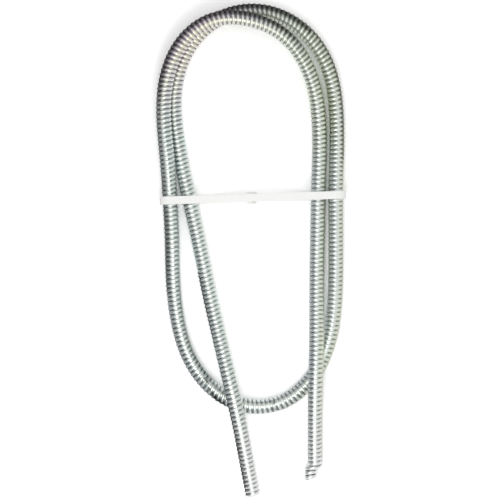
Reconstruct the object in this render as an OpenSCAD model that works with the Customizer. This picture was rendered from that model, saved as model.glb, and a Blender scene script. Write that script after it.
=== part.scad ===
// Drain auger: a closely wound spring cable for clearing pipes, coiled into a tall hank of about
// one and three quarter turns and held by one nylon tie. It lies flat on its back, +Z up, with the
// hank's length along +Y, the drive end and the hook end towards -Y.

/* [Cable] */
// Outer diameter of the spring cable, three eighths of an inch
cable_d = 9.525; // [9.4:0.005:9.55]
// Diameter of the spring wire
wire_d = 2.55; // [2:0.05:2.6]
// Sides of the cable's plain tubes
tube_sides = 12; // [8:1:12]
// Sides of the wire where its turns are modelled
wire_sides = 8; // [6:1:10]

/* [Hook end] */
// Full turns of wire before the hook
full_turns = 9.5; // [4:0.5:9.5]
// Turns of the hook, which are smaller
hook_turns = 2.9; // [1.5:0.1:3]
// Mean radius of the hook's turns
hook_r = 2.9; // [2.5:0.1:3.2]
// How far the hook's turns sit to the side of the cable
hook_shift = 2.9; // [0:0.1:3.2]
// How far the hook's turns lean up, in degrees
hook_lean = 12; // [0:1:15]
// Length along the axis that the hook's first turn takes
hook_first_pitch = 3.7; // [3.3:0.1:4.5]
// Pitch of the hook's other turns
hook_pitch = 2.8; // [2.6:0.05:3.2]

/* [Tie] */
// Width of the tie's strap
strap_w = 4.8; // [4:0.1:5]
// Thickness of the strap
strap_t = 1.3; // [1:0.1:1.4]
// Distance from one tooth of the rack to the next
rack_pitch = 1.1; // [1:0.05:1.3]
// Depth of the notches between the teeth
rack_depth = 0.45; // [0.3:0.05:0.5]
// Number of notches in the rack
rack_teeth = 34; // [8:1:60]
// Place of the tie along the hank, from its middle
tie_y = 32.2; // [25:0.1:40]
// Turn of the tie about the vertical, in degrees
tie_turn = 1.85; // [0:0.05:3]
// Slope of the strap where it climbs to the head, in degrees
climb = 9; // [8:0.5:10]

/* [Tie head] */
// Width of the head, across the strap
head_w = 7.6; // [7.4:0.1:8.5]
// Height of the head
head_h = 5.2; // [5:0.1:5.4]
// Place of the head's window along the strap
window_x = 1.5; // [-2:0.5:4]
// Clearance round the strap in the window
window_gap = 0.1; // [0.05:0.01:0.15]
// Radius of the pawl's root
pawl_root_r = 0.5; // [0.4:0.05:0.55]
// Running clearance round the pawl's root
root_gap = 0.05; // [0.03:0.01:0.08]

/* [Hidden] */

// The cable's route, from the drive end to the last full turn at the hook. The points are about
// 24 apart, and the cable's centre line is a smooth spline through them.
ROUTE = [
    // drive tail: over the lower loop, then down to the tie
    [1.5, -150, 4.8], [-3, -126.5, 9.6], [-7.5, -103, 14.4], [-13, -79, 14.3],
    [-18.5, -55.5, 10], [-24, -32, 7.2], [-29, -8, 6.4],
    // up the left, over the top underneath, down the right outside
    [-34, 15.5, 6.4], [-39.4, 39, 6.3], [-44, 62.5, 4.85], [-46.9, 86.5, 4.85], [-44, 110.5, 4.8],
    [-32.6, 131.5, 4.8], [-13, 144.5, 4.8], [11, 145.5, 4.8], [32.3, 134.3, 4.8], [46, 115, 4.8],
    [51.5, 91.5, 4.8], [52.4, 67.5, 5.6], [51.9, 43.5, 6.4], [51.7, 19.5, 6.4], [51.8, -4.5, 5.8],
    // round the lower loop
    [51.2, -28.5, 4.9], [48.3, -52.7, 4.8], [38.8, -75.4, 4.8], [20.7, -92, 4.8], [-3, -95, 4.8],
    [-24.5, -83.5, 4.8], [-38.4, -63.8, 4.8], [-45, -40.5, 4.8], [-47.6, -16.5, 5], [-48, 7.5, 6.9],
    // up the left outside, over the top in front, down the right inside
    [-49.5, 31.5, 6], [-50.9, 55.5, 11.2], [-53, 79.5, 14.5], [-51.5, 103.5, 14.6],
    [-42.5, 125.5, 14.6], [-23.4, 140.5, 14.6], [0.5, 140, 14.4], [21.2, 130.1, 12.4],
    [35, 110.5, 8.8], [40.8, 87, 6.2], [41.9, 63, 6], [41.2, 39, 6.4], [40.8, 15, 6.4],
    // hook tail: over the lower loop and down to the hook
    [40.3, -9, 6.6], [40.1, -33, 8.8], [39.9, -57, 13.4], [39.2, -81.5, 15], [39, -106, 10.2],
    [39.2, -130.5, 5.5]
];
LAST = len(ROUTE) - 1;
// Places along the route, counted in route points, where one stretch of the cable ends
DRIVE_SEAM = 1;
DRIVE_FLEX = 6;
RIGHT_TIE = 19.5;
LEFT_TIE = 32;
FRONT_TOP = 38.5;
HOOK_FLEX = 45;
COIL_SEAM = 49;
// Route points from one ring of a tube to the next, round the hank and on the tails
BEND_STEP = 0.65;
TAIL_STEP = 0.5;

cable_r = cable_d / 2;
wire_r = wire_d / 2;
coil_r = cable_r - wire_r;
UP = [0, 0, 1];

// Where the strap runs: the four strands under it lie between two flat runs
left_strand_x = -49.4;
right_strand_x = 51.75;
strand_z = 6.55;
strap_gap = 0.3;
strap_r = cable_r + strap_gap + strap_t / 2;
flat_z = strand_z - strap_r;
ease_r = 20;
bend_r = 1.85;

// The head's inside, measured from the middle of the window
window_half = strap_t / 2 + window_gap;
wall = 1.3;
head_right = window_x + window_half + wall;
head_left = window_x - 4.1;
bend_z = head_h + strap_t / 2 + window_gap - bend_r;
cut_z = 0.1;
root_z = head_h - strap_t / 2 - 0.15;
root_sink = 0.3;

// The pawl and the notches it holds
notch_land = 0.25;
notch_w = 3.2;
first_notch = 0.35;
pawl_x = window_x - 1.6;
pawl_z = 3.6;
pawl_w = 4.2;
pocket_w = 4.8;
pocket_left = pawl_x - 1.3;

// ---------- the cable's centre line ----------

function unit(v) = v / norm(v);

// Route point i, with one more point in line with the route at each end
function stop_at(i) =
    i < 0 ? 2 * ROUTE[0] - ROUTE[1] :
    i > LAST ? 2 * ROUTE[LAST] - ROUTE[LAST - 1] : ROUTE[i];

// Control point i of the uniform cubic B-spline that passes through the route
function control(i) =
    i < 0 ? 2 * control(0) - control(1) :
    i > LAST ? 2 * control(LAST) - control(LAST - 1) :
    stop_at(i) - (stop_at(i - 1) - 2 * stop_at(i) + stop_at(i + 1)) / 6;

// Place on the centre line at u, which counts route points
function centre(u) =
    let (i = min(floor(u), LAST - 1), f = u - i)
    ((1 - f) ^ 3 * control(i - 1) + (3 * f ^ 3 - 6 * f ^ 2 + 4) * control(i)
     + (-3 * f ^ 3 + 3 * f ^ 2 + 3 * f + 1) * control(i + 1) + f ^ 3 * control(i + 2)) / 6;

// Direction of the centre line at u
function heading(u) =
    let (i = min(floor(u), LAST - 1), f = u - i)
    unit(-(1 - f) ^ 2 * control(i - 1) + (3 * f ^ 2 - 4 * f) * control(i)
         + (-3 * f ^ 2 + 2 * f + 1) * control(i + 1) + f ^ 2 * control(i + 2));

// ---------- sweeping a round section ----------

// One ring of n points round c, square to the direction along, with its first point away from out
function ring(c, along, out, r, n) =
    let (side = unit(cross(along, out)), up = cross(side, along))
    [for (k = [0 : n - 1]) c + r * (cos(360 * k / n) * side + sin(360 * k / n) * up)];

// A closed solid through rings of n points each
module skin(rings, n) {
    last = len(rings) - 1;
    points = [for (one = rings) each one];
    start_cap = [[for (k = [n - 1 : -1 : 0]) k]];
    end_cap = [[for (k = [0 : n - 1]) last * n + k]];
    sides = [for (i = [0 : last - 1], k = [0 : n - 1], half = [0, 1])
        let (j = (k + 1) % n, a = i * n, b = a + n)
        half == 0 ? [a + k, a + j, b + j] : [a + k, b + j, b + k]];
    polyhedron(points, concat(start_cap, sides, end_cap), convexity = 6);
}

// The cable as a plain tube between two places on the route, with rings every `step` route points
module cable(from, to, step) {
    count = ceil((to - from) / step);
    places = [for (j = [0 : count]) from + (to - from) * j / count];
    skin([for (u = places) ring(centre(u), heading(u), UP, cable_r, tube_sides)], tube_sides);
}

// ---------- the wire's turns at the hook ----------

// Length of the full turns, and the wire's place on them; t counts turns. The wire is right-handed.
coil_start = centre(COIL_SEAM);
coil_end = centre(LAST);
coil_axis = unit(coil_end - coil_start);
coil_side = unit(cross(coil_axis, UP));
coil_phase = 270;
segs = 16;

// The point at angle a on a turn of radius r whose plane leans back by lean
function on_turn(c, a, r, lean) =
    let (top = cross(coil_side, coil_axis))
    c + r * (-cos(a) * coil_side + sin(a) * (cos(lean) * top - sin(lean) * coil_axis));

function full_wire(t) =
    on_turn(coil_start + (coil_end - coil_start) * t / full_turns,
            coil_phase + 360 * (t - full_turns), coil_r, 0);

// Smooth step from 0 to 1 as x goes from 0 to 1
function ease(x) = let (c = max(0, min(1, x))) c * c * (3 - 2 * c);

function hook_centre(t) =
    coil_end
    + coil_axis * (t < 1 ? hook_first_pitch * t : hook_first_pitch + hook_pitch * (t - 1))
    + coil_side * hook_shift * ease(t);

function hook_wire(t) =
    on_turn(hook_centre(t), coil_phase + 360 * t, coil_r + (hook_r - coil_r) * ease(t),
            hook_lean * ease(t));

// A wire through the points of a path, whose sections face away from the turn's centre
module wire(path, centres) {
    last = len(path) - 1;
    along = [for (i = [0 : last]) unit(path[min(i + 1, last)] - path[max(i - 1, 0)])];
    skin([for (i = [0 : last]) ring(path[i], along[i], path[i] - centres[i], wire_r, wire_sides)],
         wire_sides);
}

// ---------- cable nodes ----------

module drive_end() {
    tip = centre(0);
    seam = centre(DRIVE_SEAM);
    dir = unit(seam - tip);
    color("lightsteelblue")
        translate(tip)
            rotate([0, acos(dir.z), atan2(dir.y, dir.x)])
                cylinder(r = cable_r, h = norm(seam - tip), $fn = 64);
}

module drive_tail() {
    seam = centre(DRIVE_SEAM);
    first = ring(seam, unit(seam - centre(0)), UP, cable_r, tube_sides);
    places = [for (u = [DRIVE_SEAM + TAIL_STEP : TAIL_STEP : DRIVE_FLEX]) u];
    color("silver")
        skin(concat([first],
                    [for (u = places) ring(centre(u), heading(u), UP, cable_r, tube_sides)]),
             tube_sides);
}

module outer_turn() {
    color("silver") cable(DRIVE_FLEX, RIGHT_TIE, BEND_STEP);
}

module lower_loop() {
    color("silver") cable(RIGHT_TIE, LEFT_TIE, BEND_STEP);
}

module front_turn() {
    color("silver") cable(LEFT_TIE, FRONT_TOP, BEND_STEP);
}

module inner_turn() {
    color("silver") cable(FRONT_TOP, HOOK_FLEX, BEND_STEP);
}

module hook_tail() {
    color("silver") cable(HOOK_FLEX, COIL_SEAM, TAIL_STEP);
}

module hook_coils() {
    turns = [for (k = [0 : full_turns * segs]) k / segs];
    color("lightsteelblue")
        wire([for (t = turns) full_wire(t)],
             [for (t = turns) coil_start + (coil_end - coil_start) * t / full_turns]);
}

module pigtail_hook() {
    turns = [for (k = [0 : round(hook_turns * segs)]) k / segs];
    color("lightsteelblue")
        wire([for (t = turns) hook_wire(t)], [for (t = turns) hook_centre(t)]);
}

// ---------- the tie ----------

// The strap's centre line is a chain of moves, [length, turn in degrees], seen from the side:
// [x, z] with the heading measured from +x towards +z. A move with a turn is an arc.
function arc_move(r, turn) = [r * abs(turn) * PI / 180, turn];

climb_left = root_z - flat_z;
climb_right = bend_z + bend_r * cos(climb) - flat_z;
ramp_left = (climb_left - ease_r * (1 - cos(climb))) / sin(climb);
ramp_right = (climb_right - ease_r * (1 - cos(climb))) / sin(climb);
run_left = ramp_left * cos(climb) + ease_r * sin(climb);
run_right = ramp_right * cos(climb) + ease_r * sin(climb);
root_x = head_left + root_sink;
bend_x = window_x + bend_r;
flat_left = root_x - run_left - left_strand_x;
flat_right = right_strand_x - (bend_x + bend_r * sin(climb) + run_right);

STRAP_START = [root_x, root_z, 180 + climb];
STRAP_MOVES = [
    [ramp_left, 0],
    arc_move(ease_r, -climb),
    [flat_left, 0],
    arc_move(strap_r, -180),
    [right_strand_x - left_strand_x, 0],
    arc_move(strap_r, -180),
    [flat_right, 0],
    arc_move(ease_r, -climb),
    [ramp_right, 0],
    arc_move(bend_r, 90 + climb),
    [bend_z - cut_z, 0]
];

// Pose [x, z, heading] after going a length l along a move that starts at pose p
function go(p, move, l) =
    let (h = p[2], turned = move[1] * l / max(move[0], 0.001), r = move[0] / (move[1] * PI / 180))
    move[1] == 0
        ? [p[0] + l * cos(h), p[1] + l * sin(h), h]
        : [p[0] + r * (sin(h + turned) - sin(h)), p[1] - r * (cos(h + turned) - cos(h)), h + turned];

// Pose at the start of each move
function starts(p, i = 0) =
    i == len(STRAP_MOVES) ? [p] :
    concat([p], starts(go(p, STRAP_MOVES[i], STRAP_MOVES[i][0]), i + 1));
STRAP_STARTS = starts(STRAP_START);

// Stations along the whole strap: one for each straight, and one for every 7.5 degrees of an arc
STATIONS = concat(
    [for (i = [0 : len(STRAP_MOVES) - 1])
        let (move = STRAP_MOVES[i], parts = max(1, ceil(abs(move[1]) / 7.5)))
        for (j = [0 : parts - 1]) go(STRAP_STARTS[i], move, move[0] * j / parts)],
    [STRAP_STARTS[len(STRAP_MOVES)]]);

// Pose at a length s back from the strap's cut end, found in the move numbered i
function from_end(s, i = len(STRAP_MOVES) - 1) =
    let (move = STRAP_MOVES[i])
    s <= move[0] ? go(STRAP_STARTS[i], move, move[0] - s) : from_end(s - move[0], i - 1);

// The outline of a band along poses, with faces at distances left and right of the centre line
function band(poses, left, right) = concat(
    [for (p = poses) [p[0] - left * sin(p[2]), p[1] + left * cos(p[2])]],
    [for (i = [len(poses) - 1 : -1 : 0])
        let (p = poses[i]) [p[0] + right * sin(p[2]), p[1] - right * cos(p[2])]]);

// Puts a shape drawn in [x, z] on the tie, w wide across the strap
module across(w) {
    translate([0, tie_y, 0])
        rotate(tie_turn)
            rotate([90, 0, 0])
                linear_extrude(w, center = true) children();
}

// One notch: its steep wall faces back from the cut end, and its slope lets the pawl ride out
module notch() {
    slope = rack_pitch - notch_land;
    polygon([[0, -strap_t / 2 + rack_depth], [0, -strap_t], [-slope, -strap_t],
             [-slope, -strap_t / 2]]);
}

module tie_strap() {
    color("white")
        difference() {
            across(strap_w) polygon(band(STATIONS, strap_t / 2, strap_t / 2));
            for (k = [0 : rack_teeth - 1]) {
                pose = from_end(first_notch + rack_pitch * k);
                across(notch_w)
                    translate([pose[0], pose[1]])
                        rotate(pose[2]) notch();
            }
        }
}

// A rectangle with round corners, drawn from exact arcs
module soft_rect(low, high, r) {
    size = high - low;
    translate([low.x + r, low.y]) square([size.x - 2 * r, size.y]);
    translate([low.x, low.y + r]) square([size.x, size.y - 2 * r]);
    for (x = [low.x + r, high.x - r], y = [low.y + r, high.y - r])
        translate([x, y]) circle(r, $fn = 32);
}

module tie_head() {
    plan_r = 1;
    rim_r = 0.4;
    color("white")
        difference() {
            intersection() {
                translate([0, tie_y, 0])
                    rotate(tie_turn)
                        linear_extrude(head_h)
                            soft_rect([head_left, -head_w / 2], [head_right, head_w / 2], plan_r);
                across(head_w + 1) soft_rect([head_left, 0], [head_right, head_h], rim_r);
            }
            // window
            across(strap_w + 4 * window_gap)
                translate([window_x - window_half, -1]) square([2 * window_half, head_h + 2]);
            // round the window's entry, where the strap turns down into it
            across(strap_w + 4 * window_gap)
                difference() {
                    translate([window_x, bend_z]) square([bend_r, head_h]);
                    translate([bend_x, bend_z])
                        circle(bend_r - strap_t / 2 - window_gap, $fn = 48);
                }
            // pocket for the pawl, open to the window and below
            across(pocket_w)
                translate([pocket_left, -1]) square([window_x - pocket_left, pawl_z + 1]);
            // groove that holds the pawl's root
            across(pawl_w + 2 * root_gap)
                translate([pawl_x, pawl_z]) circle(pawl_root_r + root_gap, $fn = 48);
        }
}

module tie_pawl() {
    face = window_x - strap_t / 2 - 0.2;
    reach = window_x - strap_t / 2 + 0.22;
    slope = (rack_pitch - notch_land) / rack_depth;
    rise = (reach - face) * slope;
    color("white") {
        across(pawl_w) {
            translate([pawl_x, pawl_z]) circle(pawl_root_r, $fn = 48);
            polygon([[pawl_x - 0.45, pawl_z - 0.2], [pawl_x - 0.3, 1], [pawl_x + 0.1, 0.7],
                     [face, 0.7], [face, pawl_z - 0.4], [pawl_x + 0.45, pawl_z - 0.2]]);
        }
        // teeth that sit in the strap's notches
        across(notch_w - 0.3)
            for (k = [0, 1]) {
                z = cut_z + first_notch + 0.27 + rack_pitch * k;
                polygon([[face - 0.1, z], [reach, z], [reach, z + 0.02],
                         [face, z + 0.02 + rise], [face - 0.1, z + 0.02 + rise]]);
            }
    }
}

drive_end();
drive_tail();
outer_turn();
lower_loop();
front_turn();
inner_turn();
hook_tail();
hook_coils();
pigtail_hook();
tie_strap();
tie_head();
tie_pawl();
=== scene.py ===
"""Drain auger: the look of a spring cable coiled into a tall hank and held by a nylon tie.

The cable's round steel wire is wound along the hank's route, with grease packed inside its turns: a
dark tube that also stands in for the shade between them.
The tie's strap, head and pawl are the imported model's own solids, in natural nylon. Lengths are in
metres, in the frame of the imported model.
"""
import math

import bpy
import numpy as np
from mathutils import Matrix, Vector


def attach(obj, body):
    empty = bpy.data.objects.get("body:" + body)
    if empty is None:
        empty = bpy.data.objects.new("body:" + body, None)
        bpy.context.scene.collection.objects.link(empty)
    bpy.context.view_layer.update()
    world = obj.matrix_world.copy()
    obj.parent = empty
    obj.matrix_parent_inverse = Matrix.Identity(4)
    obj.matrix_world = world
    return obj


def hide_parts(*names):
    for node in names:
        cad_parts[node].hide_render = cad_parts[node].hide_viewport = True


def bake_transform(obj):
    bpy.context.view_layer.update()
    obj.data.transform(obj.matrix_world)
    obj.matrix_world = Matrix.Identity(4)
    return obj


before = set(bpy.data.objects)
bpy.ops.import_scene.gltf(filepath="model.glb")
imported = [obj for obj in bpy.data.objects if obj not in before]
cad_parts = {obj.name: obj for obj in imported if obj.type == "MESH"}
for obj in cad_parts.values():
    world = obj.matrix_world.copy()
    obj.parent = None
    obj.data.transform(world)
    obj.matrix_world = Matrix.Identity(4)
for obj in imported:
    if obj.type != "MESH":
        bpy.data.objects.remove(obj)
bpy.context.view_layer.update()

MM = 0.001

# ---------------------------------------------------------------- sizes

CABLE_D = 9.525 * MM
WIRE_R = 1.275 * MM
# How far the wire's middle lies from the cable's centre line
COIL_R = CABLE_D / 2 - WIRE_R
# Spacing of the turns where the cable is straight; on the inside of a bend it stays the same
TURN_PITCH = 2.67 * MM

# The route's points from part.scad, in millimetres: drive end first, hook last
ROUTE = MM * np.array([
    # drive tail: over the lower loop, then down to the tie
    (1.5, -150, 4.8), (-3, -126.5, 9.6), (-7.5, -103, 14.4), (-13, -79, 14.3),
    (-18.5, -55.5, 10), (-24, -32, 7.2), (-29, -8, 6.4),
    # up the left, over the top underneath, down the right outside
    (-34, 15.5, 6.4), (-39.4, 39, 6.3), (-44, 62.5, 4.85), (-46.9, 86.5, 4.85), (-44, 110.5, 4.8),
    (-32.6, 131.5, 4.8), (-13, 144.5, 4.8), (11, 145.5, 4.8), (32.3, 134.3, 4.8), (46, 115, 4.8),
    (51.5, 91.5, 4.8), (52.4, 67.5, 5.6), (51.9, 43.5, 6.4), (51.7, 19.5, 6.4), (51.8, -4.5, 5.8),
    # round the lower loop
    (51.2, -28.5, 4.9), (48.3, -52.7, 4.8), (38.8, -75.4, 4.8), (20.7, -92, 4.8), (-3, -95, 4.8),
    (-24.5, -83.5, 4.8), (-38.4, -63.8, 4.8), (-45, -40.5, 4.8), (-47.6, -16.5, 5), (-48, 7.5, 6.9),
    # up the left outside, over the top in front, down the right inside
    (-49.5, 31.5, 6), (-50.9, 55.5, 11.2), (-53, 79.5, 14.5), (-51.5, 103.5, 14.6),
    (-42.5, 125.5, 14.6), (-23.4, 140.5, 14.6), (0.5, 140, 14.4), (21.2, 130.1, 12.4),
    (35, 110.5, 8.8), (40.8, 87, 6.2), (41.9, 63, 6), (41.2, 39, 6.4), (40.8, 15, 6.4),
    # hook tail: over the lower loop and down to the hook
    (40.3, -9, 6.6), (40.1, -33, 8.8), (39.9, -57, 13.4), (39.2, -81.5, 15), (39, -106, 10.2),
    (39.2, -130.5, 5.5),
])

# The hook's smaller turns: how many, the radius of the wire's middle, how far to the side they
# stand and how far their plane leans
HOOK_TURNS = 2.9
HOOK_R = 2.9 * MM
HOOK_SHIFT = 2.9 * MM
HOOK_LEAN = math.radians(12)
# Spacing of the hook's first turn, and of the others
HOOK_FIRST_PITCH = 3.7 * MM
HOOK_PITCH = 2.8 * MM
# Where round the cable the last full turn ends and the hook's first begins
HOOK_PHASE = math.radians(270)

# Places on the route, counted in its points, where one piece of cable gives way to the next:
# all four lie under the tie's strap
UNDER_STRAP = {"drive": 7.67, "right": 19.37, "left": 31.96, "hook": 43.21}

# ---------------------------------------------------------------- camera

# Where the lens stands, and how wide its view is at VIEW_DEPTH below it, amid the strands
EYE = (-0.6 * MM, 0.4 * MM, 1.606)
VIEW_WIDTH = 0.3055
VIEW_DEPTH = 1.6
SENSOR = 36


def add_camera():
    """A long lens that looks straight down on the hank."""
    data = bpy.data.cameras.new("camera")
    data.sensor_width = SENSOR
    data.lens = SENSOR * VIEW_DEPTH / VIEW_WIDTH
    data.clip_start = 0.05
    data.clip_end = 20
    camera = bpy.data.objects.new("camera", data)
    camera.location = EYE
    bpy.context.scene.collection.objects.link(camera)
    bpy.context.scene.camera = camera


add_camera()

# ---------------------------------------------------------------- the cable's centre line


def control_points(route):
    """Control points of the uniform cubic B-spline through the route: each is the route point
    less a sixth of its second difference, with one more point in line at each end."""
    q = np.vstack([2 * route[0] - route[1], route, 2 * route[-1] - route[-2]])
    c = q.copy()
    c[1:-1] = q[1:-1] - (q[:-2] - 2 * q[1:-1] + q[2:]) / 6
    c[0] = 2 * c[1] - c[2]
    c[-1] = 2 * c[-2] - c[-3]
    return c


def spline(u):
    """Points on the centre line at u, which counts route points."""
    c = control_points(ROUTE)
    i = np.minimum(u.astype(int), len(ROUTE) - 2)
    f = (u - i)[:, None]
    return ((1 - f) ** 3 * c[i] + (3 * f ** 3 - 6 * f ** 2 + 4) * c[i + 1]
            + (-3 * f ** 3 + 3 * f ** 2 + 3 * f + 1) * c[i + 2] + f ** 3 * c[i + 3]) / 6


def unit(v):
    """Each row of v at length one."""
    return v / np.linalg.norm(v, axis=-1, keepdims=True)


def lengths(points):
    """Distance along a line of points, from its first."""
    return np.r_[0, np.cumsum(np.linalg.norm(np.diff(points, axis=0), axis=1))]


def ease(x, low=0, high=1):
    """Smooth step from 0 at low to 1 at high: 3 t^2 - 2 t^3, with t the share of the way."""
    t = np.clip((x - low) / (high - low), 0, 1)
    return t * t * (3 - 2 * t)


# Fine points of the centre line from one route point to the next
FINE = 60
fine_u = np.linspace(0, len(ROUTE) - 1, (len(ROUTE) - 1) * FINE + 1)
fine_line = spline(fine_u)
fine_s = lengths(fine_line)
fine_along = unit(np.gradient(fine_line, fine_s, axis=0))
CABLE_LENGTH = fine_s[-1]


def turn_count():
    """Turns of wire from the drive end to each fine point. A turn takes TURN_PITCH on the inside
    of a bend, so on the centre line it takes 1 + curvature * COIL_R times that."""
    bend = np.linalg.norm(np.gradient(fine_along, fine_s, axis=0), axis=1)
    per_metre = 1 / (TURN_PITCH * (1 + bend * COIL_R))
    steps = np.diff(fine_s) * (per_metre[1:] + per_metre[:-1]) / 2
    return np.r_[0, np.cumsum(steps)]


fine_turn = turn_count()


def line_at(s):
    """Centre line, direction, side and up at distances s along the cable."""
    centre = np.stack([np.interp(s, fine_s, fine_line[:, k]) for k in range(3)], 1)
    along = unit(np.stack([np.interp(s, fine_s, fine_along[:, k]) for k in range(3)], 1))
    side = unit(np.cross(along, (0, 0, 1)))
    return centre, along, side, np.cross(side, along)


# ---------------------------------------------------------------- meshes


def add_piece(name, points, faces, uv=None, attributes=None):
    """A mesh object at the origin from whole arrays of corners and faces."""
    mesh = bpy.data.meshes.new(name)
    mesh.from_pydata(points.tolist(), [], [list(f) for f in faces])
    mesh.polygons.foreach_set("use_smooth", np.ones(len(mesh.polygons), bool))
    corner = np.zeros(len(mesh.loops), int)
    mesh.loops.foreach_get("vertex_index", corner)
    if uv is not None:
        layer = mesh.uv_layers.new(name="UVMap")
        layer.data.foreach_set("uv", uv[corner].astype(np.float32).ravel())
    for key, values in (attributes or {}).items():
        layer = mesh.attributes.new(key, "FLOAT", "POINT")
        layer.data.foreach_set("value", values.astype(np.float32))
    mesh.update()
    piece = bpy.data.objects.new(name, mesh)
    bpy.context.scene.collection.objects.link(piece)
    return piece


def grid_faces(rows, columns):
    """Quads of a grid of rows of corners, each row closed on itself, with a cap at each end."""
    i, j = np.meshgrid(np.arange(rows - 1), np.arange(columns), indexing="ij")
    k = (j + 1) % columns
    quads = np.stack([i * columns + j, i * columns + k,
                      (i + 1) * columns + k, (i + 1) * columns + j], -1)
    quads = quads.reshape(-1, 4).tolist()
    first = list(range(columns))[::-1]
    last = [(rows - 1) * columns + c for c in range(columns)]
    return quads + [first, last]


# ---------------------------------------------------------------- the wire, and the grease and shade between its turns

# Sides of the wire, and steps of it in one turn
WIRE_SIDES = 10
TURN_STEPS = 22
# The grease and dirt packed between the turns, as a plain tube inside them that also stands in for
# the shade between the turns
GREASE_AND_SHADE_R = 4.3 * MM
GREASE_AND_SHADE_SIDES = 24
GREASE_AND_SHADE_STEP = 1.5 * MM
# Distance between the points of the centre line that path_between gives along a piece of the cable
PATH_STEP = 3 * MM
# The bends spring the turns open, and there the painted shade between the turns reaches further
# out. The top one does so fully, and sets in over a stretch of Y
TOP_BEND = (85 * MM, 125 * MM)
# The lower one does so LOW_BEND as far, and sets in as the cable turns across, by the X part of
# its direction. Below the foot lie only the cable's two ends, which have no part in it
LOW_BEND = 0.55
LOW_BEND_ACROSS = (0.35, 0.75)
LOW_BEND_FOOT = (-125 * MM, -115 * MM)
# How far the painted highlight line lies from the cable's top, as a share of the
# way to its side: towards the inner side in a bend, and outwards on the outer strands
HIGHLIGHT_LINE_SHIFT = 0.45
OUTER_HIGHLIGHT_SHIFT = 0.2
# How far from the middle of the hank the outer strands lie, and where along Y the shift outwards
# begins on each side, and over how much of Y it grows
OUTER_STRANDS = (44 * MM, 49 * MM)
RIGHT_RUN_FOOT = -60 * MM
LEFT_RUN_FOOT = 20 * MM
RUN_RISE = 30 * MM


def tube(path, out, r, sides):
    """Corners of a round tube along path: ring k is path[k] + r (cos a * out + sin a * across),
    where across is square to out and to the path. Gives them with their angle a and their
    distance along the path, as grids."""
    s = lengths(path)
    along = unit(np.gradient(path, s, axis=0))
    across = unit(np.cross(along, out))
    out = np.cross(across, along)
    a = 2 * math.pi * np.arange(sides) / sides
    rings = (path[:, None] + r * (np.cos(a)[None, :, None] * out[:, None]
                                  + np.sin(a)[None, :, None] * across[:, None]))
    s, a = np.broadcast_arrays(s[:, None], a[None])
    return rings, a, s


def sprung_open(centres):
    """How far a bend has sprung the turns open, which sets how far the painted shade between the
    turns reaches out and how far the highlight line shifts: 1 in the top bend, LOW_BEND in the
    lower one and 0 on the straight runs, with smooth steps between them."""
    across = np.abs(unit(np.gradient(centres, axis=0))[:, 0])
    y = centres[:, 1]
    low = LOW_BEND * ease(across, *LOW_BEND_ACROSS) * ease(y, *LOW_BEND_FOOT) * (y < 0)
    return np.maximum(ease(y, *TOP_BEND), low)


def painted_highlight_shift(centres):
    """How far the painted highlight line lies towards the inner side: up to the full shift in a
    bend, and on the outer strands' straight runs, on the left only above the tie, the outer shift
    the other way."""
    x, y = centres[:, 0], centres[:, 1]
    foot = np.where(x > 0, RIGHT_RUN_FOOT, LEFT_RUN_FOOT)
    run = ease(y, foot, foot + RUN_RISE) * (1 - ease(y, *TOP_BEND))
    outer = ease(np.abs(x), *OUTER_STRANDS)
    return HIGHLIGHT_LINE_SHIFT * sprung_open(centres) - OUTER_HIGHLIGHT_SHIFT * run * outer


def flank_of(phase, shift):
    """0 along the painted highlight line, which is the cable's top moved by the shift towards the
    inner side, and on the underside opposite, and up to 1 at the sides, where shade is painted: the
    size of cos(phase) + shift."""
    return np.minimum(1, np.abs(np.cos(phase) + shift))


def wire_skin(wire, centres, phase):
    """The wire as a round tube along its line: its corners, their angle round it and distance
    along it, and what the steel reads at each. "depth" is 0 at the cable's outside and 1 at its
    inside, "flank" and "sprung" are as flank_of and sprung_open give them, and "right" is the X
    part of the unit vector from the cable's centre line to the turn: -1 at its left side and 1 at
    its right."""
    out = unit(wire - centres)
    rings, a, s = tube(wire, out, WIRE_R, WIRE_SIDES)
    flank = flank_of(phase, painted_highlight_shift(centres))
    return rings, a, s, {"depth": ((1 - np.cos(a)) / 2).ravel(),
                         "flank": np.repeat(flank, WIRE_SIDES),
                         "right": np.repeat(out[:, 0], WIRE_SIDES),
                         "sprung": np.repeat(sprung_open(centres), WIRE_SIDES)}


def grease_and_shade_skin(start, end):
    """The grease, which also stands in for the shade between the turns, as a round tube along the
    centre line between two distances, with the same values as the wire's. All of it is at depth 1."""
    middle, _, side, _ = line_at(np.linspace(start, end, int((end - start) / GREASE_AND_SHADE_STEP)))
    rings, a, s = tube(middle, side, GREASE_AND_SHADE_R, GREASE_AND_SHADE_SIDES)
    flank = flank_of(np.pi - a, painted_highlight_shift(middle)[:, None])
    return rings, a, s, {"depth": np.ones(a.size),
                         "flank": flank.ravel(),
                         "right": unit(rings - middle[:, None])[..., 0].ravel(),
                         "sprung": np.repeat(sprung_open(middle), GREASE_AND_SHADE_SIDES)}


def add_skins(name, skins):
    """One mesh from the skins, each closed on itself. The UV runs along each in metres, and round
    it from 0 to 1."""
    points = np.vstack([rings.reshape(-1, 3) for rings, _, _, _ in skins])
    uv = np.vstack([np.stack([s, a / (2 * math.pi)], -1).reshape(-1, 2) for _, a, s, _ in skins])
    values = {key: np.concatenate([v[key] for _, _, _, v in skins]) for key in skins[0][3]}
    faces = []
    first = 0
    for _, a, _, _ in skins:
        faces += [[first + corner for corner in face] for face in grid_faces(*a.shape)]
        first += a.size
    return add_piece(name, points, faces, uv, values)


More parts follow.
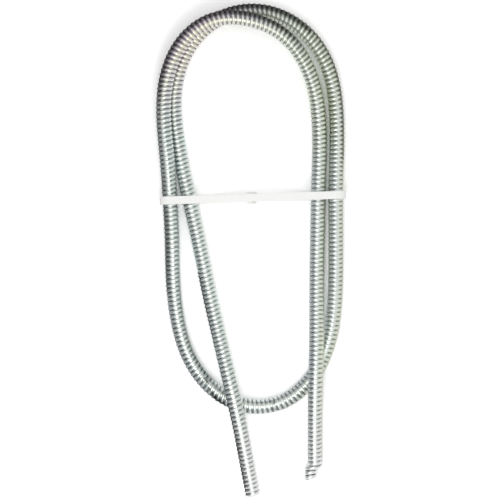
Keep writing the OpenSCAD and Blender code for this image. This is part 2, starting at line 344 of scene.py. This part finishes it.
def full_turns(start, end):
    """The wire's line, its turns' centres and its phase p between two counts of turns: the centre
    line plus COIL_R (-cos p * side + sin p * up), wound right-handed, in step with the hook."""
    turn = np.linspace(start, end, int(round((end - start) * TURN_STEPS)) + 1)
    s = np.interp(turn, fine_turn, fine_s)
    centre, _, side, up = line_at(s)
    p = HOOK_PHASE + 2 * math.pi * (turn - fine_turn[-1])
    wire = centre + COIL_R * (-np.cos(p)[:, None] * side + np.sin(p)[:, None] * up)
    return wire, centre, p, s


def hook_turns():
    """The hook's line, its turns' centres and its phase, counted in turns t from the last full
    turn: the centre goes on along the cable and to the side by HOOK_SHIFT, the radius shrinks to
    HOOK_R, and the turns' plane leans up by HOOK_LEAN, all over the first turn."""
    t = np.arange(1, int(round(HOOK_TURNS * TURN_STEPS)) + 1) / TURN_STEPS
    end, along, side, up = (x[0] for x in line_at(np.array([CABLE_LENGTH])))
    going = np.where(t < 1, HOOK_FIRST_PITCH * t, HOOK_FIRST_PITCH + HOOK_PITCH * (t - 1))
    grown = ease(t)[:, None]
    centre = end + along * going[:, None] + side * HOOK_SHIFT * grown
    p = HOOK_PHASE + 2 * math.pi * t
    lean = HOOK_LEAN * grown
    r = COIL_R + (HOOK_R - COIL_R) * grown
    tilted = np.cos(lean) * up - np.sin(lean) * along
    wire = centre + r * (-np.cos(p)[:, None] * side + np.sin(p)[:, None] * tilted)
    return wire, centre, p


def turn_at(u):
    """Count of turns at a place on the route, rounded to a step of the wire."""
    turn = np.interp(u, fine_u, fine_turn)
    return fine_turn[-1] - round((fine_turn[-1] - turn) * TURN_STEPS) / TURN_STEPS


def path_between(start, end):
    """Points of the centre line between two distances, a PATH_STEP or a little more apart."""
    s = np.linspace(start, end, max(2, int((end - start) / PATH_STEP)))
    return line_at(s)[0]


def add_cable(name, start, end, hook=False):
    """One piece of the cable between two counts of turns."""
    wire, centre, phase, s = full_turns(start, end)
    path = path_between(s[0], s[-1])
    if hook:
        hook_wire, hook_centre, hook_phase = hook_turns()
        wire = np.vstack([wire, hook_wire])
        centre = np.vstack([centre, hook_centre])
        phase = np.r_[phase, hook_phase]
        path = np.vstack([path, hook_centre[TURN_STEPS // 2::TURN_STEPS // 2]])
    piece = add_skins(name, [wire_skin(wire, centre, phase), grease_and_shade_skin(s[0], s[-1])])
    return piece


def add_cables():
    """The whole cable in five pieces that meet under the strap. The wire starts about half a turn
    in from the cable's end, at a whole step from the hook."""
    seam = {k: turn_at(u) for k, u in UNDER_STRAP.items()}
    first_turn = fine_turn[-1] - int((fine_turn[-1] - 0.5) * TURN_STEPS) / TURN_STEPS
    drive = add_cable("cable_drive_tail", first_turn, seam["drive"])
    outer = add_cable("cable_outer_turn", seam["drive"], seam["right"])
    lower = add_cable("cable_lower_loop", seam["right"], seam["left"])
    inner = add_cable("cable_inner_turn", seam["left"], seam["hook"])
    hook = add_cable("cable_hook_tail", seam["hook"], fine_turn[-1], hook=True)
    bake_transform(drive)
    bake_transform(hook)
    for piece in (outer, lower, inner):
        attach(piece, "hank")
    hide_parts("drive_end", "drive_tail")
    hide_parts("outer_turn")
    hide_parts("lower_loop")
    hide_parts("front_turn", "inner_turn")
    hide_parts("hook_tail", "hook_coils", "pigtail_hook")
    return [drive, outer, lower, inner, hook]


cables = add_cables()

# ---------------------------------------------------------------- materials


class Nodes:
    """A material's node tree, with short calls to add and join nodes."""

    def __init__(self, name):
        self.material = bpy.data.materials.new(name)
        self.material.use_nodes = True
        self.tree = self.material.node_tree
        self.shader = self.tree.nodes["Principled BSDF"]
        self.output = self.tree.nodes["Material Output"]

    def add(self, kind, **settings):
        """A new node, with its settings."""
        node = self.tree.nodes.new(kind)
        for key, value in settings.items():
            setattr(node, key, value)
        return node

    def join(self, a, b):
        """A link from socket a to socket b."""
        self.tree.links.new(a, b)

    def mapped(self, source, scale):
        """A coordinate socket stretched by scale."""
        node = self.add("ShaderNodeMapping")
        node.inputs["Scale"].default_value = scale
        self.join(source, node.inputs["Vector"])
        return node.outputs["Vector"]

    def noise(self, vector, scale, detail):
        """Cloudy noise between 0 and 1, mostly near its middle."""
        node = self.add("ShaderNodeTexNoise")
        node.inputs["Scale"].default_value = scale
        node.inputs["Detail"].default_value = detail
        self.join(vector, node.inputs["Vector"])
        return node.outputs["Fac"]

    def spread(self, value, span, to=(0, 1)):
        """The value's place in its span, carried over to another, and held at the ends."""
        node = self.add("ShaderNodeMapRange")
        for key, number in zip(("From Min", "From Max", "To Min", "To Max"), (*span, *to)):
            node.inputs[key].default_value = number
        self.join(value, node.inputs["Value"])
        return node.outputs["Result"]

    def mix(self, factor, a, b):
        """Colour a where factor is 0 and b where it is 1; each is a socket or a colour."""
        node = self.add("ShaderNodeMix", data_type="RGBA")
        for source, socket in ((factor, node.inputs[0]), (a, node.inputs[6]), (b, node.inputs[7])):
            if isinstance(source, bpy.types.NodeSocket):
                self.join(source, socket)
            elif isinstance(source, tuple):
                socket.default_value = (*source, 1)
            else:
                socket.default_value = source
        return node.outputs[2]

    def maths(self, operation, a, b):
        """The sum, product, difference or larger of a and b; each is a socket or a number."""
        node = self.add("ShaderNodeMath", operation=operation)
        for source, socket in ((a, node.inputs[0]), (b, node.inputs[1])):
            if isinstance(source, bpy.types.NodeSocket):
                self.join(source, socket)
            else:
                socket.default_value = source
        return node.outputs[0]

    def bump(self, height, strength, distance):
        """Relief on the shader's normal."""
        node = self.add("ShaderNodeBump")
        node.inputs["Strength"].default_value = strength
        node.inputs["Distance"].default_value = distance
        self.join(height, node.inputs["Height"])
        self.join(node.outputs["Normal"], self.shader.inputs["Normal"])

    def set(self, name, value):
        """A shader input from a number, a colour or a socket."""
        socket = self.shader.inputs[name]
        if isinstance(value, bpy.types.NodeSocket):
            self.join(value, socket)
        elif isinstance(value, tuple):
            socket.default_value = (*value, 1)
        else:
            socket.default_value = value


# The zinc's tints on the turns' crowns, lighter there as a painted highlight, and on their sides,
# darker there as painted shade, and those of the dark, greasy film between the turns, which is
# partly painted shade. Where the sides are violet the crowns are yellow
LIT_CROWN = {"cool": (0.86, 0.94, 0.93), "green": (0.85, 0.94, 0.9), "straw": (0.87, 0.94, 0.82),
         "violet": (0.96, 0.93, 0.74), "plain": (0.94, 0.95, 0.945)}
SHADED_SIDES = {"cool": (0.82, 0.89, 0.89), "green": (0.81, 0.9, 0.86), "straw": (0.85, 0.9, 0.73),
         "violet": (0.9, 0.85, 0.86), "plain": (0.9, 0.91, 0.905)}
FILM_AND_SHADE = {"cool": (0.23, 0.26, 0.27), "green": (0.21, 0.27, 0.25), "straw": (0.24, 0.27, 0.2),
        "violet": (0.27, 0.21, 0.29), "plain": (0.26, 0.27, 0.27)}
# The film painted lighter: a painted highlight along the highlight line, less bright there in the
# bends, painted light on the straight runs' right edges, and lighter painted shade beside the line
# on the left sides of the right-hand runs
HIGHLIGHT_LINE_FILM = (0.79, 0.82, 0.76)
BEND_FILM = (0.54, 0.54, 0.45)
LIT_EDGE_FILM = (0.52, 0.54, 0.48)
LIGHTER_SHADE_FILM = (0.3, 0.32, 0.33)
# The zinc where it is worn, and in the lines that drawing left along the wire
WORN_ZINC = (0.8, 0.8, 0.8)
DRAWN_LINES = (0.68, 0.69, 0.7)
# Where along Y the straight runs give way to the top bend
RUN_HEAD = (35 * MM, 75 * MM)


def attribute(n, name):
    """One of the values that wire_skin and grease_and_shade_skin give each corner."""
    return n.add("ShaderNodeAttribute", attribute_name=name).outputs["Fac"]


def tinted(n, where, tints):
    """The tint that holds at each place."""
    green = n.mix(where["green"], tints["cool"], tints["green"])
    straw = n.mix(where["straw"], green, tints["straw"])
    violet = n.mix(where["violet"], straw, tints["violet"])
    return n.mix(where["plain"], violet, tints["plain"])


def tint_places(n, x, y, right):
    """Where the tints are: cool on the left sides, as a painted cool shade, and green on the
    others, straw on the right sides of the right-hand runs, as painted warm light, and all round in
    the bend above them, violet in the top left of the hank, and plain at its lower end."""
    turned = n.maths("MAXIMUM", n.spread(right, (-0.1, 0.6)), n.spread(y, (40 * MM, 90 * MM)))
    return {"green": n.spread(right, (-0.7, 0.1)),
            "straw": n.maths("MULTIPLY", n.spread(x, (-20 * MM, 45 * MM)), turned),
            "violet": n.maths("MULTIPLY", n.spread(y, (70 * MM, 120 * MM)),
                              n.spread(x, (-30 * MM, 30 * MM), (1, 0))),
            "plain": n.spread(y, (-130 * MM, -70 * MM), (1, 0))}


def zinc(n, where, drawn, clouds, flank):
    """The zinc's colour: its tints, lighter on the crowns as a painted highlight and darker on the
    sides as painted shade, worn in cloudy places, with the drawn lines.
    """
    lit_and_shaded_zinc = n.mix(n.spread(flank, (0.2, 0.7)), tinted(n, where, LIT_CROWN), tinted(n, where, SHADED_SIDES))
    worn = n.mix(n.spread(clouds, (0.35, 0.7), (0, 0.4)), lit_and_shaded_zinc, WORN_ZINC)
    return n.mix(n.spread(drawn, (0.35, 0.75), (0, 0.25)), worn, DRAWN_LINES)


def grease_and_painted_shade(n, where, x, y, flank, right, sprung):
    """The colour between the turns, partly a greasy film and partly painted shade: pale along the
    painted highlight line, and dark beside it as painted shade. On the straight runs the right
    edges are lighter, as painted light, and so are the left sides of the right-hand runs."""
    straight = n.maths("MULTIPLY", n.spread(sprung, (0, 0.5), (1, 0)),
                       n.spread(y, RUN_HEAD, (1, 0)))
    # Lighter painted shade on the left sides of the right-hand runs
    lighter_left_sides = n.maths("MULTIPLY", n.spread(x, (-10 * MM, 30 * MM)),
                      n.spread(right, (-0.5, 0), (1, 0)))
    dark = n.mix(n.maths("MULTIPLY", lighter_left_sides, straight), tinted(n, where, FILM_AND_SHADE), LIGHTER_SHADE_FILM)
    # Painted highlight along the line, less bright in the bends
    highlight_film = n.mix(sprung, HIGHLIGHT_LINE_FILM, BEND_FILM)
    beside = n.maths("MULTIPLY", flank, n.spread(y, RUN_HEAD, (1, 1.3)))
    film = n.mix(n.spread(beside, (0.14, 0.42)), highlight_film, dark)
    # Painted light on the right edges of the straight runs
    edge = n.maths("MULTIPLY", n.spread(flank, (0.5, 0.9)), n.spread(right, (0.1, 0.6)))
    return n.mix(n.maths("MULTIPLY", edge, straight), film, LIT_EDGE_FILM)


def spring_steel():
    """Bright zinc-plated spring wire: drawn lines along the wire, a cloudy zinc coat with faint
    violet, green and straw tints, lighter on the crowns as a painted highlight and darker on the
    sides as painted shade, and between the turns a dark, greasy film that is partly painted shade,
    reaching further out beside the highlight line and where a tight bend has sprung the turns open."""
    n = Nodes("spring_steel")
    place = n.add("ShaderNodeTexCoord").outputs["Object"]
    axes = n.add("ShaderNodeSeparateXYZ")
    n.join(place, axes.inputs[0])
    x, y = axes.outputs["X"], axes.outputs["Y"]
    along_wire = n.mapped(n.add("ShaderNodeUVMap", uv_map="UVMap").outputs["UV"], (60, 28, 1))
    drawn = n.noise(along_wire, scale=1, detail=3)
    clouds = n.noise(place, scale=90, detail=3)
    specks = n.noise(place, scale=1500, detail=2)
    depth, flank, right, sprung = (attribute(n, name)
                                   for name in ("depth", "flank", "right", "sprung"))
    where = tint_places(n, x, y, right)
    # Painted shade between the turns: the dark film reaches further out on the sides and in the
    # bends
    reach = n.maths("MULTIPLY", n.spread(flank, (0.15, 0.5), (0.5, 0.15)),
                    n.spread(sprung, (0, 1), (1, 0.5)))
    grease_and_shade_mask = n.spread(n.maths("SUBTRACT", depth, reach), (0, 0.2))
    n.set("Base Color", n.mix(grease_and_shade_mask, zinc(n, where, drawn, clouds, flank),
                              grease_and_painted_shade(n, where, x, y, flank, right, sprung)))
    n.set("Metallic", 1.0)
    n.set("Roughness", n.maths("ADD", n.spread(clouds, (0.3, 0.7), (0.28, 0.38)),
                               n.spread(specks, (0.55, 0.8), (0, 0.1))))
    n.bump(drawn, strength=0.25, distance=0.06 * MM)
    return n.material


def nylon():
    """Natural nylon: milky, slightly glossy, with a fine moulded grain."""
    n = Nodes("natural_nylon")
    place = n.add("ShaderNodeTexCoord").outputs["Object"]
    grain = n.noise(place, scale=2600, detail=2)
    clouds = n.noise(place, scale=160, detail=3)
    n.set("Base Color", n.mix(n.spread(clouds, (0.3, 0.7)), (0.96, 0.97, 0.94), (0.93, 0.94, 0.91)))
    n.set("Roughness", n.spread(grain, (0.3, 0.7), (0.3, 0.42)))
    n.set("Subsurface Weight", 0.25)
    n.shader.inputs["Subsurface Radius"].default_value = (2 * MM, 2 * MM, 1.8 * MM)
    n.set("Subsurface Scale", 0.5)
    n.bump(grain, strength=0.12, distance=0.04 * MM)
    return n.material


def dress_pieces():
    """Steel for the cable's five pieces, and nylon for the tie's three."""
    steel = spring_steel()
    milky = nylon()
    for piece in cables:
        piece.data.materials.append(steel)
    for name in ("tie_strap", "tie_head", "tie_pawl"):
        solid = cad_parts[name].data
        solid.materials.clear()
        solid.materials.append(milky)


dress_pieces()

# ---------------------------------------------------------------- stage and light

# Half the floor's side, its colour, and the brighter whites that reflections and the camera see
FLOOR_HALF = 6
FLOOR_COLOUR = (0.8, 0.8, 0.8)
FLOOR_REFLECTED = (1.12, 1.12, 1.12)
FLOOR_SEEN = (1.42, 1.42, 1.42)
# How bright the surround is, apart from the lamp
SURROUND = 0.78
# Where the lamp hangs, how wide and how deep it is, and how bright
KEY_PLACE = (-0.02, -0.17, 0.36)
KEY_SIZE = (0.1, 0.26)
KEY_RADIANCE = 4.6

# Sections of the cards, as steps out from the strand's middle and up from the floor
NEAR = MM * np.array([(5.4, 0.4), (12, 1), (26, 10)])
TALL = MM * np.array([(5.4, 0.4), (14, 8), (34, 50)])
SLIM = MM * np.array([(5.4, 0.4), (8.5, 8)])
# The cards beside the cable: where on the route each starts and ends, which side of the cable it
# stands on (-1 is left and 1 right, as the cable runs), its section and its grey
CARDS = {
    "drive_card": (0, 1.2, -1, NEAR, 0.1), "crossing_card": (1.2, 3.2, -1, 1.8 * SLIM, 0.08),
    "tail_card": (3.2, 5.8, -1, SLIM, 0.1), "back_card": (9.5, 18.5, -1, NEAR, 0.27),
    "right_card": (18.5, 24, -1, NEAR, 0.75), "loop_card": (26.2, 29.6, -1, NEAR, 0.45),
    "left_card": (29.6, 32.3, -1, TALL, 0.23), "upper_card": (32.3, 34.6, -1, TALL, 0.38),
    "top_card": (34.6, 39.3, -1, TALL, 0.12), "hook_card": (41, 50, 1, NEAR, 0.75),
    "hook_side_card": (46, 50, -1, NEAR, 0.85),
}
# The large card: how far away it stands, its two ends as degrees round the hank, its section, as
# steps out and up, and its grey
FAR_DISTANCE = 0.5
FAR_ENDS = (225, 75)
FAR_SECTION = ((0, 0), (0.1, 0.5))
FAR_GREY = (0.2, 0.2, 0.22)
# Points along each card beside the cable, and along the large one
CARD_POINTS = 60
FAR_POINTS = 14


def add_floor():
    """A plain white floor that keeps its shadows. It is brighter to the camera, and by less to
    reflections, so that it looks white without more light on the cable."""
    h = FLOOR_HALF
    mesh = bpy.data.meshes.new("floor")
    mesh.from_pydata([(-h, -h, 0), (h, -h, 0), (h, h, 0), (-h, h, 0)], [], [(0, 1, 2, 3)])
    floor = bpy.data.objects.new("floor", mesh)
    bpy.context.scene.collection.objects.link(floor)
    n = Nodes("white_floor")
    ray = n.add("ShaderNodeLightPath")
    reflected = n.maths("ADD", ray.outputs["Is Glossy Ray"], ray.outputs["Is Transmission Ray"])
    white = n.mix(reflected, FLOOR_COLOUR, FLOOR_REFLECTED)
    matt = n.add("ShaderNodeBsdfDiffuse")
    n.join(n.mix(ray.outputs["Is Camera Ray"], white, FLOOR_SEEN), matt.inputs["Color"])
    n.join(matt.outputs[0], n.output.inputs["Surface"])
    mesh.materials.append(n.material)


def add_lamp(name, place, size, radiance):
    """A rectangular soft lamp that faces the hank. Its energy is pi times radiance times area."""
    data = bpy.data.lights.new(name, "AREA")
    data.shape = "RECTANGLE"
    data.size, data.size_y = size
    data.energy = radiance * math.pi * size[0] * size[1]
    lamp = bpy.data.objects.new(name, data)
    lamp.location = place
    lamp.rotation_euler = Vector(place).to_track_quat("Z", "Y").to_euler()
    lamp.visible_camera = False
    bpy.context.scene.collection.objects.link(lamp)


def add_card(name, line, out, steps, colour):
    """A card that only reflections see: a strip whose rows are the line moved out and up by each
    step."""
    rows = [np.c_[line + out * go, np.full(len(out), up)] for go, up in steps]
    columns = len(out)
    first = [r * columns + c for r in range(len(rows) - 1) for c in range(columns - 1)]
    faces = [(k, k + 1, k + 1 + columns, k + columns) for k in first]
    card = add_piece(name, np.vstack(rows), faces)
    for ray in ("camera", "diffuse", "shadow", "transmission", "volume_scatter"):
        setattr(card, "visible_" + ray, False)
    n = Nodes(name)
    n.set("Base Color", colour)
    n.set("Roughness", 0.9)
    card.data.materials.append(n.material)


def add_cards():
    """The cards beside the cable, and the large one round the top left of the hank."""
    for name, (start, end, hand, steps, grey) in CARDS.items():
        s = np.interp(np.linspace(start, end, CARD_POINTS), fine_u, fine_s)
        centre, _, side, _ = line_at(s)
        add_card(name, centre[:, :2], hand * unit(side[:, :2]), steps, (grey,) * 3)
    turn = np.radians(np.linspace(*FAR_ENDS, FAR_POINTS))
    out = np.stack([np.cos(turn), np.sin(turn)], 1)
    add_card("far_card", FAR_DISTANCE * out, out, FAR_SECTION, FAR_GREY)


def light_world():
    """A plain, even surround, of one brightness to every ray."""
    world = bpy.data.worlds.new("surround")
    bpy.context.scene.world = world
    world.use_nodes = True
    background = world.node_tree.nodes["Background"]
    background.inputs["Color"].default_value = (1, 1, 1, 1)
    background.inputs["Strength"].default_value = SURROUND


add_floor()
add_cards()
add_lamp("key_lamp", KEY_PLACE, KEY_SIZE, KEY_RADIANCE)
light_world()
bpy.context.scene.view_settings.view_transform = "Standard"
